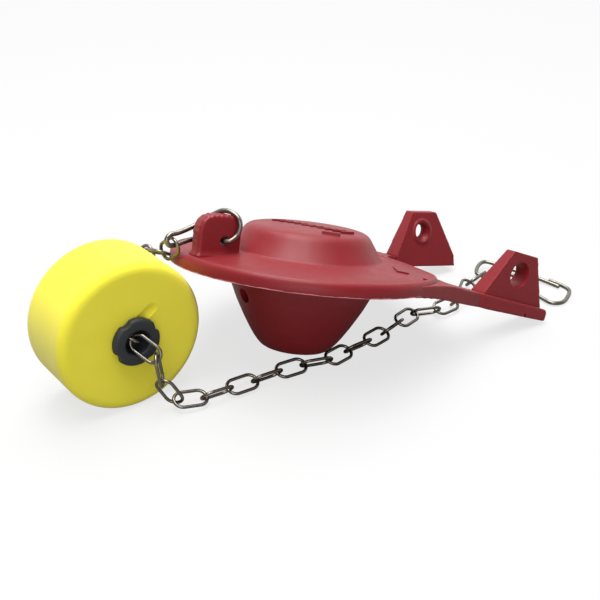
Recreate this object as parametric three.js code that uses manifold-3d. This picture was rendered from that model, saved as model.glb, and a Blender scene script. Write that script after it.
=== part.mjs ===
// Toilet cistern flapper with an adjustable float and its chain, laid down on a flat surface.
// Millimetres, +Z up. The flapper's length runs along +X, from its pull tab to its two ears.

import * as THREE from 'three';
import { mergeVertices } from 'three/addons/utils/BufferGeometryUtils.js';
import Module from 'manifold-3d';

const wasm = await Module();
wasm.setup();

// Clearance between pieces that touch on the real object
const clearance = 0.3;

// Flapper: disc, dome and cone, one rubber moulding
const discRadius = 39;
const rimThickness = 2.9;
const rimWidth = 3.4;
const beadWidth = 1.0;
const beadHeight = 0.45;
const rimEdge = 0.3;
const domeBaseRadius = 22.3;
const domeBaseHeight = 5.6;
const domeTopRadius = 17.2;
const domeTopHeight = 13.5;
const domeCrown = 0.7;
const domeFillet = 3.2;
const moundRadius = 26;
const moundDrop = 1.1;
const rubberWall = 2.4;
const coneTopRadius = 20.9;
const coneFootRadius = 8.5;
const coneDepth = 22.5;
const coneBow = 2.0;
const coneFillet = 1.6;
const footRound = 1.0;
const bleedHoleDiameter = 4.4;
const bleedHoleDepth = 6.2;

// Web, arms and ears
const webThickness = 3.0;
const webEnd = 43;
const webCornerRadius = 5;
const armLength = 76.2;
const armOuter = 26;
const armWidth = 7.6;
const armTop = 3.0;
const armBottom = -1.3;
const armTipRadius = 1.2;
const armTaper = 4;
const earBaseStart = 49.3;
const earBaseEnd = 74.4;
const earTopStart = 56.2;
const earTopEnd = 66.6;
const earTop = 16.8;
const earBaseWidth = 7.4;
const earTopWidth = 3.6;
const earLean = 1.0;
const earRoot = 0.6;
const pegHoleDiameter = 8;
const pegHoleX = 60.6;
const pegHoleHeight = 10.4;

// How the soft arms hang down from the disc, each by its own angle
const sagStart = 24;
const sagEnd = 46;
const nearArmSag = THREE.MathUtils.degToRad(10.6);
const farArmSag = THREE.MathUtils.degToRad(-1.7);

// Pull tab
const tabCentre = 8.6 - discRadius;
const tabLength = 11.8;
const tabThickness = 4.8;
const tabTop = 15.8;
const tabFoot = 2.2;
const tabCornerRadius = 3.6;
const tabEdgeRound = 0.7;
const tabHoleX = tabCentre + 2;
const tabHoleHeight = 9.3;
const tabHoleDiameter = 2.5;

// Wire ring through the tab
const ringWire = 1.4;
const ringDrop = 14.8;

// Float and its plug
const floatRadius = 21.2;
const floatLength = 21.5;
const floatEdgeRound = 2.6;
const floatX = -12.3 - discRadius;
const floatY = 8.2;
const floatTurn = THREE.MathUtils.degToRad(6.5);
const boreDrop = 0.2;
const plugStemDiameter = 9.4;
const plugStemLength = 9;
const plugFlangeDiameter = 13.6;
const plugFlangeThickness = 2.2;
const plugHoleDiameter = 7.1;
const plugNotchDiameter = 4.6;
const plugNotchDepth = 1.1;
const plugNotches = 4;
const plugNotchTurn = THREE.MathUtils.degToRad(25);
const slotWidth = 3.0;
const slotReach = 8.4;
const slotTurn = THREE.MathUtils.degToRad(20);
const slotDepth = 1.6;

// Chain of oval wire links
const linkLength = 10.3;
const linkWidth = 5.8;
const linkWire = 0.95;
const floorGap = 0.05;
const flatLinkRoll = THREE.MathUtils.degToRad(25);
const uprightLinkRoll = THREE.MathUtils.degToRad(-48);
const linkTwists = { 0: 4, 1: 21, 2: 8 };

// Lever clip of bent wire
const clipWire = 1.3;
const clipCorner = new THREE.Vector3(21, -20, 0);

const roundFacets = 48;

const colours = {
  rubber: new THREE.MeshStandardMaterial({ color: 0xa8383c, roughness: 0.45, metalness: 0 }),
  foam: new THREE.MeshStandardMaterial({ color: 0xf4e628, roughness: 0.85, metalness: 0 }),
  plug: new THREE.MeshStandardMaterial({ color: 0x23262a, roughness: 0.55, metalness: 0 }),
  steel: new THREE.MeshStandardMaterial({ color: 0x8d8f8c, roughness: 0.35, metalness: 1 }),
};

function closedGeometry(geometry) {
  geometry.deleteAttribute('normal');
  geometry.deleteAttribute('uv');
  const merged = mergeVertices(geometry, 1e-4);
  const index = merged.index.array;
  const kept = [];
  for (let i = 0; i < index.length; i += 3) {
    const [a, b, c] = [index[i], index[i + 1], index[i + 2]];
    if (a !== b && b !== c && c !== a) kept.push(a, b, c);
  }
  merged.setIndex(kept);
  merged.clearGroups();
  return merged;
}

function solid(geometry) {
  const merged = closedGeometry(geometry);
  return new wasm.Manifold(new wasm.Mesh({
    numProp: 3,
    vertProperties: new Float32Array(merged.attributes.position.array),
    triVerts: new Uint32Array(merged.index.array),
  }));
}

function geometryOf(manifold) {
  const mesh = manifold.getMesh();
  const geometry = new THREE.BufferGeometry();
  geometry.setAttribute('position', new THREE.BufferAttribute(new Float32Array(mesh.vertProperties), 3));
  geometry.setIndex([...mesh.triVerts]);
  return geometry;
}

function revolve(points, facets = roundFacets) {
  const profile = points.map(([radius, height]) => new THREE.Vector2(radius, height));
  const geometry = new THREE.LatheGeometry(profile, facets);
  geometry.rotateX(Math.PI / 2);
  return geometry;
}

function arc(centreR, centreZ, radius, fromDegrees, toDegrees, steps) {
  const points = [];
  for (let i = 0; i <= steps; i++) {
    const angle = THREE.MathUtils.degToRad(fromDegrees + (toDegrees - fromDegrees) * i / steps);
    points.push([centreR + radius * Math.cos(angle), centreZ + radius * Math.sin(angle)]);
  }
  return points;
}

function rod(diameter, length, facets = 24) {
  return new THREE.CylinderGeometry(diameter / 2, diameter / 2, length, facets);
}

function named(name, geometry, material) {
  const mesh = new THREE.Mesh(geometry, material);
  mesh.name = name;
  return mesh;
}

// The cone is bowl-shaped: its radius falls slowly at first and faster towards the foot.
function coneRadius(depth) {
  const share = depth / coneDepth;
  return THREE.MathUtils.lerp(coneTopRadius, coneFootRadius, share) + coneBow * Math.sin(Math.PI * share);
}

function domeAndDisc() {
  const rise = domeTopHeight - domeBaseHeight;
  const run = domeBaseRadius - domeTopRadius;
  const slope = THREE.MathUtils.radToDeg(Math.atan2(run, rise));
  const profile = [[0, domeTopHeight + domeCrown]];
  const topEdge = domeTopRadius - domeFillet * Math.tan(THREE.MathUtils.degToRad((90 - slope) / 2));
  profile.push([topEdge * 0.55, domeTopHeight + domeCrown * 0.72]);
  profile.push(...arc(topEdge, domeTopHeight - domeFillet, domeFillet, 88, slope, 4));
  profile.push([domeBaseRadius, domeBaseHeight]);
  profile.push([moundRadius, domeBaseHeight - moundDrop]);
  const groove = discRadius - rimWidth;
  const bead = groove + 2 * rimEdge;
  profile.push([groove - 2 * rimEdge, rimThickness - rimEdge], [groove, rimThickness - rimEdge]);
  profile.push([bead, rimThickness + beadHeight], [bead + beadWidth, rimThickness + beadHeight]);
  profile.push([discRadius - 2 * rimEdge, rimThickness - rimEdge], [discRadius, rimThickness - 3 * rimEdge]);
  profile.push([discRadius, rimEdge], [discRadius - rimEdge, 0]);
  profile.push([coneTopRadius + coneFillet, 0]);
  const steps = 9;
  for (let i = 0; i <= steps; i++) {
    const depth = THREE.MathUtils.lerp(coneFillet * 0.6, coneDepth - footRound, i / steps);
    profile.push([coneRadius(depth), -depth]);
  }
  profile.push([coneFootRadius - footRound / 10, -coneDepth + footRound / 4]);
  profile.push([coneFootRadius - footRound, -coneDepth], [coneFootRadius - rubberWall, -coneDepth]);
  for (let i = steps - 1; i >= 0; i--) {
    const depth = coneDepth * i / steps;
    profile.push([coneRadius(depth) - rubberWall, -depth]);
  }
  profile.push([domeBaseRadius - 1.4 * rubberWall, domeBaseHeight - rubberWall / 5]);
  profile.push([domeTopRadius - 1.1 * rubberWall, domeTopHeight - rubberWall]);
  profile.push([0, domeTopHeight + domeCrown - rubberWall]);
  return solid(revolve(profile.reverse()));
}

// Plan of the web: tangents from the disc to both arms, and a straight edge between the arms
function webAndArms() {
  const armStart = sagEnd + 1;
  const away = Math.hypot(armStart, armOuter);
  const tangentAngle = Math.atan2(armOuter, armStart) + Math.acos(discRadius / away);
  const insideDisc = domeBaseRadius - 1;
  const armInner = armOuter - armWidth;
  const outline = new THREE.Shape();
  const strips = 5;
  const outward = new THREE.Vector2(Math.cos(tangentAngle), Math.sin(tangentAngle));
  const leave = outward.clone().multiplyScalar(discRadius - rimEdge / 6);
  const start = outward.clone().multiplyScalar(insideDisc);
  outline.moveTo(start.x, -start.y);
  outline.lineTo(leave.x, -leave.y);
  for (let i = 1; i <= strips; i++) {
    const share = i / strips;
    outline.lineTo(THREE.MathUtils.lerp(leave.x, armStart, share), -THREE.MathUtils.lerp(leave.y, armOuter, share));
  }
  outline.lineTo(armStart, -armInner);
  outline.lineTo(webEnd + webCornerRadius, -armInner);
  outline.absarc(webEnd + webCornerRadius, -armInner + webCornerRadius, webCornerRadius, -Math.PI / 2, -Math.PI, true);
  outline.lineTo(webEnd, 0);
  outline.absarc(webEnd + webCornerRadius, armInner - webCornerRadius, webCornerRadius, Math.PI, Math.PI / 2, true);
  outline.lineTo(armStart, armInner);
  outline.lineTo(armStart, armOuter);
  for (let i = strips - 1; i >= 0; i--) {
    const share = i / strips;
    outline.lineTo(THREE.MathUtils.lerp(leave.x, armStart, share), THREE.MathUtils.lerp(leave.y, armOuter, share));
  }
  outline.lineTo(start.x, start.y);
  outline.absarc(0, 0, insideDisc, tangentAngle, -tangentAngle, true);
  const plate = new THREE.ExtrudeGeometry(outline, { depth: webThickness, bevelEnabled: false, curveSegments: 16 });
  let body = solid(plate);
  for (const side of [-1, 1]) {
    body = body.add(arm(side)).add(ear(side));
  }
  return body;
}

function arm(side) {
  const start = sagEnd - 2;
  const outline = new THREE.Shape();
  outline.moveTo(start, armTop);
  outline.lineTo(start, webThickness / 100);
  outline.lineTo(start + armTaper, armBottom);
  outline.lineTo(armLength - rimEdge, armBottom);
  outline.lineTo(armLength, armBottom + rimEdge);
  outline.absarc(armLength - armTipRadius, armTop - armTipRadius, armTipRadius, 0, Math.PI / 2, false);
  outline.lineTo(start, armTop);
  const bar = new THREE.ExtrudeGeometry(outline, { depth: armWidth, bevelEnabled: false, curveSegments: 4 });
  bar.rotateX(Math.PI / 2);
  bar.translate(0, side > 0 ? armOuter : -armOuter + armWidth, 0);
  return solid(bar);
}

// An ear is a wedge plate: its outer face leans in a little and its inner face leans out to meet it.
function ear(side) {
  const foot = armTop - earRoot;
  const outline = new THREE.Shape();
  outline.moveTo(earBaseStart, foot);
  outline.lineTo(earBaseEnd, foot);
  outline.lineTo(earTopEnd, earTop);
  outline.lineTo(earTopStart, earTop);
  outline.lineTo(earBaseStart, foot);
  const plate = new THREE.ExtrudeGeometry(outline, { depth: 1, bevelEnabled: false });
  plate.rotateX(Math.PI / 2);
  const position = plate.attributes.position;
  for (let i = 0; i < position.count; i++) {
    const share = (position.getZ(i) - foot) / (earTop - foot);
    const outer = armOuter - webThickness / 100 - earLean * share;
    const width = THREE.MathUtils.lerp(earBaseWidth, earTopWidth, share);
    const onOuter = position.getY(i) > -0.5;
    position.setY(i, onOuter ? outer : outer - width);
  }
  const hole = rod(pegHoleDiameter, 4 * earBaseWidth);
  hole.translate(pegHoleX, armOuter, pegHoleHeight);
  const body = solid(plate).subtract(solid(hole));
  return side < 0 ? body.mirror([0, 1, 0]) : body;
}

function tab() {
  const half = tabLength / 2 - tabEdgeRound;
  const outline = new THREE.Shape();
  outline.moveTo(-half, 0);
  outline.lineTo(half, 0);
  outline.absarc(half - tabCornerRadius, tabTop - tabEdgeRound - tabCornerRadius, tabCornerRadius, 0, Math.PI / 2);
  outline.absarc(-half + tabCornerRadius, tabTop - tabEdgeRound - tabCornerRadius, tabCornerRadius, Math.PI / 2, Math.PI);
  outline.lineTo(-half, 0);
  const block = new THREE.ExtrudeGeometry(outline, {
    depth: tabThickness - 2 * tabEdgeRound,
    bevelEnabled: true,
    bevelThickness: tabEdgeRound,
    bevelSize: tabEdgeRound,
    bevelOffset: 0,
    bevelSegments: 2,
    curveSegments: 5,
  });
  block.translate(0, 0, -tabThickness / 2 + tabEdgeRound);
  block.rotateX(Math.PI / 2);
  block.translate(tabCentre, 0, 0);
  const below = new THREE.BoxGeometry(2 * tabLength, 2 * tabThickness, 2 * tabTop);
  below.translate(tabCentre, 0, tabFoot - tabTop);
  const hole = rod(tabHoleDiameter, tabThickness * 2, 16);
  hole.translate(tabHoleX, 0, tabHoleHeight);
  return solid(block).subtract(solid(below)).subtract(solid(hole));
}

function bleedHole() {
  const bore = rod(bleedHoleDiameter, coneTopRadius, 20);
  bore.rotateZ(Math.PI / 2);
  bore.translate(-coneTopRadius, 0, -bleedHoleDepth);
  return solid(bore);
}

// The rubber bends down between sagStart and sagEnd, by an angle that changes from arm to arm.
function sag(geometry) {
  const position = geometry.attributes.position;
  const armInner = armOuter - armWidth;
  for (let i = 0; i < position.count; i++) {
    const x = position.getX(i);
    if (x > sagStart) {
      const z = position.getZ(i);
      const across = THREE.MathUtils.smoothstep(position.getY(i), -armInner, armInner);
      const full = THREE.MathUtils.lerp(nearArmSag, farArmSag, across);
      const curvature = full / (sagEnd - sagStart);
      const bent = Math.min(x, sagEnd) - sagStart;
      const angle = curvature * bent;
      const straight = Math.max(x - sagEnd, 0);
      const alongX = Math.abs(curvature) > 1e-9 ? Math.sin(angle) / curvature : bent;
      const drop = Math.abs(curvature) > 1e-9 ? (1 - Math.cos(angle)) / curvature : 0;
      position.setX(i, sagStart + alongX + straight * Math.cos(angle) + z * Math.sin(angle));
      position.setZ(i, -drop - straight * Math.sin(angle) + z * Math.cos(angle));
    }
  }
  return geometry;
}

function flapperGeometry() {
  const body = domeAndDisc().add(webAndArms()).add(tab()).subtract(bleedHole());
  return sag(geometryOf(body));
}

// The flapper stands on its cone's foot and on the tips of both arms.
function restPose(geometry) {
  const position = geometry.attributes.position;
  const groups = [[], [], []];
  for (let i = 0; i < position.count; i++) {
    const point = new THREE.Vector3().fromBufferAttribute(position, i);
    if (point.z < -coneDepth * 0.8) groups[0].push(point);
    if (point.x > earBaseStart) groups[point.y < 0 ? 1 : 2].push(point);
  }
  const up = new THREE.Vector3(0, 0, 1);
  let supports = [];
  for (let round = 0; round < 12; round++) {
    supports = groups.map((group) => group.reduce((low, point) => (point.dot(up) < low.dot(up) ? point : low)));
    const across = supports[2].clone().sub(supports[1]);
    const along = supports[1].clone().sub(supports[0]);
    up.copy(along.cross(across)).normalize();
  }
  const level = supports[0].dot(up);
  const forward = new THREE.Vector3(1, 0, 0).addScaledVector(up, -up.x).normalize();
  const left = new THREE.Vector3().crossVectors(up, forward);
  const turn = new THREE.Matrix4().makeBasis(forward, left, up).transpose();
  const footCentre = new THREE.Vector3(0, 0, -coneDepth).applyMatrix4(turn);
  turn.premultiply(new THREE.Matrix4().makeTranslation(-footCentre.x, -footCentre.y, -level));
  return turn;
}

// Outline of a wire's cut end
function circle(diameter, sides) {
  const outline = new THREE.Shape();
  for (let i = 0; i < sides; i++) {
    const angle = 2 * Math.PI * i / sides;
    const point = [diameter / 2 * Math.cos(angle), diameter / 2 * Math.sin(angle)];
    if (i === 0) outline.moveTo(...point);
    else outline.lineTo(...point);
  }
  outline.closePath();
  return outline;
}

// A closed wire has no ends, so the end caps of the extrusion are left out and its rims joined.
function wireLoop(curve, diameter, sides, steps) {
  const tube = new THREE.ExtrudeGeometry(circle(diameter, sides), { steps, extrudePath: curve });
  const walls = tube.groups[1];
  const position = tube.attributes.position.array.slice(walls.start * 3, (walls.start + walls.count) * 3);
  const geometry = new THREE.BufferGeometry();
  geometry.setAttribute('position', new THREE.BufferAttribute(position, 3));
  return mergeVertices(geometry, 2e-3);
}

function wireRod(curve, diameter, sides, steps) {
  return closedGeometry(new THREE.ExtrudeGeometry(circle(diameter, sides), { steps, extrudePath: curve }));
}

function smoothLoop(points) {
  return new THREE.CatmullRomCurve3(points.map((point) => new THREE.Vector3(...point)), true, 'centripetal');
}

// Ring: out of the tab's hole, round its free edge and over its top, back along its far side, and home
function ringCurve() {
  const beside = tabThickness / 2 + ringWire / 2 + clearance + 0.2;
  const pastEdge = tabCentre + tabLength / 2 + ringWire / 2 + clearance;
  const overTop = tabTop + ringWire / 2 + clearance;
  const tip = tabHoleX - ringDrop;
  return smoothLoop([
    [tabHoleX, 0, tabHoleHeight],
    [tabHoleX, -tabThickness / 2, tabHoleHeight],
    [tabHoleX + 0.9, -beside, tabHoleHeight + 0.2],
    [pastEdge - 1.4, -beside, tabHoleHeight + 1.3],
    [pastEdge + 0.1, -beside + 1.2, tabHoleHeight + 3.0],
    [pastEdge + 0.3, -0.4, tabHoleHeight + 4.8],
    [pastEdge - 0.6, beside - 2.4, overTop - 0.8],
    [pastEdge - 2.6, beside - 0.6, overTop + 0.1],
    [tabHoleX - 1.0, beside + 0.2, overTop - 1.2],
    [tabHoleX - 6.0, beside + 0.3, overTop - 3.3],
    [tip + 3.6, beside - 0.2, tabHoleHeight + 2.2],
    [tip + 0.7, beside - 0.4, tabHoleHeight + 0.9],
    [tip, beside - 0.5, tabHoleHeight - 0.9],
    [tip + 0.9, beside - 0.5, tabHoleHeight - 2.4],
    [tip + 2.6, beside - 0.4, tabHoleHeight - 2.5],
    [tabHoleX - 7.5, beside, tabHoleHeight - 1.2],
    [tabHoleX - 3.4, beside + 0.3, tabHoleHeight - 0.3],
    [tabHoleX - 0.9, beside + 0.1, tabHoleHeight],
    [tabHoleX, tabThickness / 2, tabHoleHeight],
  ]);
}

function floatGeometry() {
  const bore = plugStemDiameter / 2 + clearance;
  const half = floatLength / 2;
  const inner = floatRadius - floatEdgeRound;
  const profile = [
    [0, -half],
    ...arc(inner, -half + floatEdgeRound, floatEdgeRound, -90, 0, 4),
    ...arc(inner, half - floatEdgeRound, floatEdgeRound, 0, 90, 4),
    [0, half],
  ];
  const tunnel = rod(bore * 2, floatLength * 2, 32);
  tunnel.rotateX(Math.PI / 2);
  tunnel.translate(0, -boreDrop, 0);
  return geometryOf(solid(revolve(profile)).subtract(solid(tunnel)).subtract(slotPocket()));
}

// A shallow slot moulded in the float's face, beside the plug
function slotPocket() {
  const half = slotReach / 2;
  const outline = new THREE.Shape();
  outline.absarc(-half, 0, slotWidth / 2, Math.PI / 2, 3 * Math.PI / 2);
  outline.absarc(half, 0, slotWidth / 2, -Math.PI / 2, Math.PI / 2);
  const pocket = new THREE.ExtrudeGeometry(outline, { depth: slotDepth * 2, bevelEnabled: false, curveSegments: 8 });
  pocket.rotateZ(slotTurn);
  pocket.translate(0.6, plugFlangeDiameter / 2 - boreDrop, floatLength / 2 - slotDepth);
  return solid(pocket);
}

function plugGeometry() {
  const stem = plugStemDiameter / 2;
  const hole = plugHoleDiameter / 2;
  const flange = plugFlangeDiameter / 2;
  const seat = clearance;
  const profile = [
    [hole, -plugStemLength],
    [stem - 0.4, -plugStemLength],
    [stem, -plugStemLength + 0.8],
    [stem, seat],
    [flange, seat],
    [flange, seat + plugFlangeThickness - 0.5],
    [flange - 0.5, seat + plugFlangeThickness],
    [hole + 0.4, seat + plugFlangeThickness],
    [hole, seat + plugFlangeThickness - 0.4],
    [hole, -plugStemLength],
  ];
  let body = solid(revolve(profile, 36));
  for (let i = 0; i < plugNotches; i++) {
    const angle = plugNotchTurn + 2 * Math.PI * i / plugNotches;
    const notch = rod(plugNotchDiameter, plugFlangeThickness * 4, 14);
    notch.rotateX(Math.PI / 2);
    const reach = flange + plugNotchDiameter / 2 - plugNotchDepth;
    notch.translate(reach * Math.cos(angle), reach * Math.sin(angle), 0);
    const above = new THREE.BoxGeometry(plugFlangeDiameter * 2, plugFlangeDiameter * 2, plugFlangeThickness * 2);
    above.translate(0, 0, plugFlangeThickness + seat / 2);
    body = body.subtract(solid(notch).intersect(solid(above)));
  }
  return geometryOf(body);
}

function stadium(length, width) {
  const radius = width / 2;
  const half = length / 2 - radius;
  const points = [];
  const turns = 5;
  for (const end of [1, -1]) {
    for (let i = 0; i <= turns; i++) {
      const angle = -end * Math.PI / 2 + Math.PI * i / turns;
      points.push([end * half + radius * Math.cos(angle), radius * Math.sin(angle), 0]);
    }
    points.push([0, end * radius, 0]);
  }
  return points;
}

function linkGeometry() {
  const centreLine = smoothLoop(stadium(linkLength - linkWire, linkWidth - linkWire));
  return wireLoop(centreLine, linkWire, 6, 20);
}

// How far the cone's flank reaches towards the viewer's side within half a link of x, up to a height
function flankReach(x, height, flapperPlace) {
  let reach = 0;
  for (let i = 0; i <= roundFacets; i++) {
    const depth = coneDepth * i / roundFacets;
    for (let j = 0; j < roundFacets; j++) {
      const angle = 2 * Math.PI * j / roundFacets;
      const [along, across] = [coneRadius(depth) * Math.cos(angle), coneRadius(depth) * Math.sin(angle)];
      const point = flapperPlace.localToWorld(new THREE.Vector3(along, across, -depth));
      if (point.z < height && Math.abs(point.x - x) < linkLength / 2) reach = Math.max(reach, -point.y);
    }
  }
  return reach;
}

// The chain's way: from the ring, down behind the float, in at its back, out of its plug, down to the
// floor, past the cone and between the arms to the clip.
function chainRoute(hook, floatPlace, flapperPlace) {
  const along = (distance) => floatPlace.localToWorld(new THREE.Vector3(0, -boreDrop, distance)).toArray();
  const beside = (forward, left, height) => [floatX + forward, floatY + left, height];
  const back = -floatLength / 2;
  const front = floatLength / 2 + plugFlangeThickness;
  const edge = (linkWidth - linkWire) / 2 * Math.sin(Math.abs(uprightLinkRoll));
  const level = linkWire / 2 + edge + floorGap;
  const top = level + edge + linkWire / 2;
  const halfWidth = linkWidth / 2 * Math.cos(uprightLinkRoll);
  const pastCone = (x) => [x, -flankReach(x, top, flapperPlace) - halfWidth - clearance, level];
  const points = [
    hook.toArray(),
    beside(18.1, 5.0, 36.2),
    beside(17.3, 13.6, 33.4),
    beside(14.3, 19.4, 27.6),
    beside(8.1, 22.2, 23.0),
    beside(0.9, 18.8, floatRadius),
    along(back + clearance),
    along(back + 8.4),
    along(back + 16.5),
    along(front + 1.2),
    beside(5.4, -17.2, 16.6),
    beside(5.9, -17.4, 8.4),
    beside(10.5, -17.6, level),
    beside(17.1, -18.5, level),
    [-18, -9.6, level],
    [-1.3, -9.2, level],
    pastCone(6.5),
    pastCone(14.7),
    [22.5, -7.4, level],
    [31, -4.6, level],
    [38.1, -1.8, level],
    [45.2, 0.4, level],
    [51.8, -1.9, level],
    [59.4, -0.6, level],
    [66.0, 2.4, level],
    [72.0, 7.8, level],
    [79.4, 10.6, level],
  ];
  const curve = new THREE.CatmullRomCurve3(
    points.map((point) => new THREE.Vector3(...point)), false, 'centripetal',
  );
  curve.arcLengthDivisions = 1200;
  return curve;
}

// Each link lies between two joints of the chain, a pitch apart along the route, and reaches a
// little past both. The wire that an end link hangs on takes the place of its outer joint.
function placeLinks(route, group, geometry) {
  const seat = (linkWire + clearance) / 2;
  const ringReach = (linkWire + ringWire) / 2 + clearance - seat;
  const clipReach = (linkWire + clipWire) / 2 + clearance - seat;
  const length = route.getLength();
  const pitch = linkLength - linkWire - 2 * seat;
  const span = length + ringReach + clipReach;
  const count = 2 * Math.ceil(span / pitch / 2);
  const joints = [];
  for (let i = 0; i <= count; i++) {
    const distance = i * span / count;
    joints.push(route.getPointAt(THREE.MathUtils.clamp((distance - ringReach) / length, 0, 1)));
  }
  const first = joints[0].clone().sub(joints[1]).normalize();
  joints[0].addScaledVector(first, ringReach);
  const last = joints[count].clone().sub(joints[count - 1]).normalize();
  joints[count].addScaledVector(last, clipReach);
  let upward = new THREE.Vector3(0, 0, 1);
  for (let i = count - 1; i >= 0; i--) {
    const along = joints[i + 1].clone().sub(joints[i]).normalize();
    upward = upward.addScaledVector(along, -upward.dot(along)).normalize();
    const usual = i % 2 === 0 ? flatLinkRoll : uprightLinkRoll;
    const roll = usual + THREE.MathUtils.degToRad(linkTwists[i] ?? 0);
    const sideways = new THREE.Vector3().crossVectors(upward, along);
    const across = sideways.multiplyScalar(Math.cos(roll)).addScaledVector(upward, Math.sin(roll));
    const face = new THREE.Vector3().crossVectors(along, across);
    const link = named(`chain_link_${String(i + 1).padStart(2, '0')}`, geometry, colours.steel);
    link.quaternion.setFromRotationMatrix(new THREE.Matrix4().makeBasis(along, across, face));
    link.position.copy(joints[i]).add(joints[i + 1]).multiplyScalar(0.5);
    group.add(link);
  }
}

// Clip: one wire bent to a small eye and a large loop, with its two ends side by side. The points
// are places on the wire, seen from above, from the eye's middle.
function clipGeometry() {
  const beside = clipWire + clearance;
  const points = [
    [19.4, -17.6], [17.2, -10.4], [14.0, -2.8], [11.3, 3.1], [8.3, 7.6], [3.8, 5.8], [-0.2, 0.9],
    [2.3, -1.8], [7.3, -2.4], [10.4, -4.4], [9.1, -9.4], [8.1, -15.4], [8.4, -21.4], [9.1, -25.4],
    [12.3, -26.6], [16.8, -24.6], [21.0, -20.8], [19.4 + beside, -17.2], [18.2 + beside, -12.8],
  ].map(([x, y]) => new THREE.Vector3(x, y, 0));
  const curve = new THREE.CatmullRomCurve3(points, false, 'centripetal');
  return wireRod(curve, clipWire, 8, 64);
}

const part = new THREE.Group();
const laid = new THREE.Group();
part.add(laid);

const flapperPlace = new THREE.Group();
const flapper = named('flapper', flapperGeometry(), colours.rubber);
restPose(flapper.geometry).decompose(flapperPlace.position, flapperPlace.quaternion, flapperPlace.scale);
flapperPlace.add(flapper);
const ringLine = ringCurve();
flapperPlace.add(named('tab_ring', wireLoop(ringLine, ringWire, 8, 44), colours.steel));
laid.add(flapperPlace);

const floatPlace = new THREE.Group();
floatPlace.position.set(floatX, floatY, floatRadius);
floatPlace.rotation.set(Math.PI / 2, 0, floatTurn, 'ZXY');
floatPlace.add(named('float', floatGeometry(), colours.foam));
const plugPlace = new THREE.Group();
plugPlace.position.set(0, -boreDrop, floatLength / 2);
plugPlace.add(named('float_plug', plugGeometry(), colours.plug));
floatPlace.add(plugPlace);
laid.add(floatPlace);
laid.updateMatrixWorld(true);

const hook = flapperPlace.localToWorld(ringLine.getPoint(14 / 19).clone());
const route = chainRoute(hook, floatPlace, flapperPlace);
placeLinks(route, laid, linkGeometry());

// The clip's eye lies on the last link and its far corner on the floor.
const clip = named('lever_clip', clipGeometry(), colours.steel);
clip.position.copy(route.getPointAt(1));
clip.position.x -= clearance;
const clipTilt = Math.asin((clip.position.z - clipWire / 2) / clipCorner.length());
clip.quaternion.setFromAxisAngle(new THREE.Vector3(clipCorner.y, -clipCorner.x, 0).normalize(), -clipTilt);
laid.add(clip);

laid.updateMatrixWorld(true);
const bounds = new THREE.Box3().setFromObject(laid, true);
const centre = bounds.getCenter(new THREE.Vector3());
laid.position.set(-centre.x, -centre.y, -bounds.min.z);

export default part;
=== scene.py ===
import math
import bpy
import bmesh
import numpy as np
from mathutils import Matrix, Vector


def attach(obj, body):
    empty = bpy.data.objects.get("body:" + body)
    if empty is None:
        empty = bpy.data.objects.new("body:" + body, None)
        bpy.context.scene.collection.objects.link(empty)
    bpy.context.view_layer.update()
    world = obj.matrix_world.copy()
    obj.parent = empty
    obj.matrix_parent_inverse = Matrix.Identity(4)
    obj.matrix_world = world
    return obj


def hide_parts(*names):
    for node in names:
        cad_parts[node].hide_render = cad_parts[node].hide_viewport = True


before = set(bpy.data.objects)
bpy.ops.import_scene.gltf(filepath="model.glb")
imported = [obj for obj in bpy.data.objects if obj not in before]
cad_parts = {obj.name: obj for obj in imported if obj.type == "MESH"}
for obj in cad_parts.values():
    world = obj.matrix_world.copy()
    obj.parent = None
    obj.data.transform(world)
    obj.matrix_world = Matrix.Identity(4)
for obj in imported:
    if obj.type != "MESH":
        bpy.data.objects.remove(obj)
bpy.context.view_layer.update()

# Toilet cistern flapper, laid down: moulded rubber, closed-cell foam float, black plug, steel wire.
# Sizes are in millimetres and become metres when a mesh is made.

MM = 0.001
ROOT = "root"


# Camera at the photograph's angle

camera_place = Vector((-142.685, -228.309, 153.447)) * MM
camera_look = Vector((0.44756, 0.76513, -0.4629))
camera_data = bpy.data.cameras.new("camera")
camera_data.sensor_width = 36.0
camera_data.lens = 60.52
camera_data.clip_start = 0.01
camera = bpy.data.objects.new("camera", camera_data)
camera.location = camera_place
camera.rotation_euler = camera_look.to_track_quat("-Z", "Y").to_euler()
bpy.context.scene.collection.objects.link(camera)
bpy.context.scene.camera = camera
bpy.context.scene.view_settings.view_transform = "Standard"


# Making and finishing meshes

def piece_from(name, points, faces):
    """A mesh piece from points in millimetres."""
    mesh = bpy.data.meshes.new(name)
    mesh.from_pydata([tuple(c * MM for c in p) for p in points], [], [tuple(f) for f in faces])
    mesh.validate()
    piece = bpy.data.objects.new(name, mesh)
    bpy.context.scene.collection.objects.link(piece)
    turn_faces_out(piece)
    return piece


def turn_faces_out(piece):
    work = bmesh.new()
    work.from_mesh(piece.data)
    bmesh.ops.remove_doubles(work, verts=work.verts, dist=1e-7)
    bmesh.ops.recalc_face_normals(work, faces=work.faces)
    work.to_mesh(piece.data)
    work.free()


def settle(piece):
    """Turns a piece with modifiers into a plain mesh."""
    bpy.context.view_layer.update()
    shaped = piece.evaluated_get(bpy.context.evaluated_depsgraph_get())
    mesh = bpy.data.meshes.new_from_object(shaped)
    mesh.name = piece.name
    old = piece.data
    piece.modifiers.clear()
    piece.data = mesh
    bpy.data.meshes.remove(old)


def join_or_cut(piece, tools, operation):
    for tool in tools:
        step = piece.modifiers.new("work", "BOOLEAN")
        step.operation = operation
        step.solver = "EXACT"
        step.object = tool
        settle(piece)
        discard(tool)


def discard(piece):
    mesh = piece.data
    bpy.data.objects.remove(piece)
    bpy.data.meshes.remove(mesh)


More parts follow.
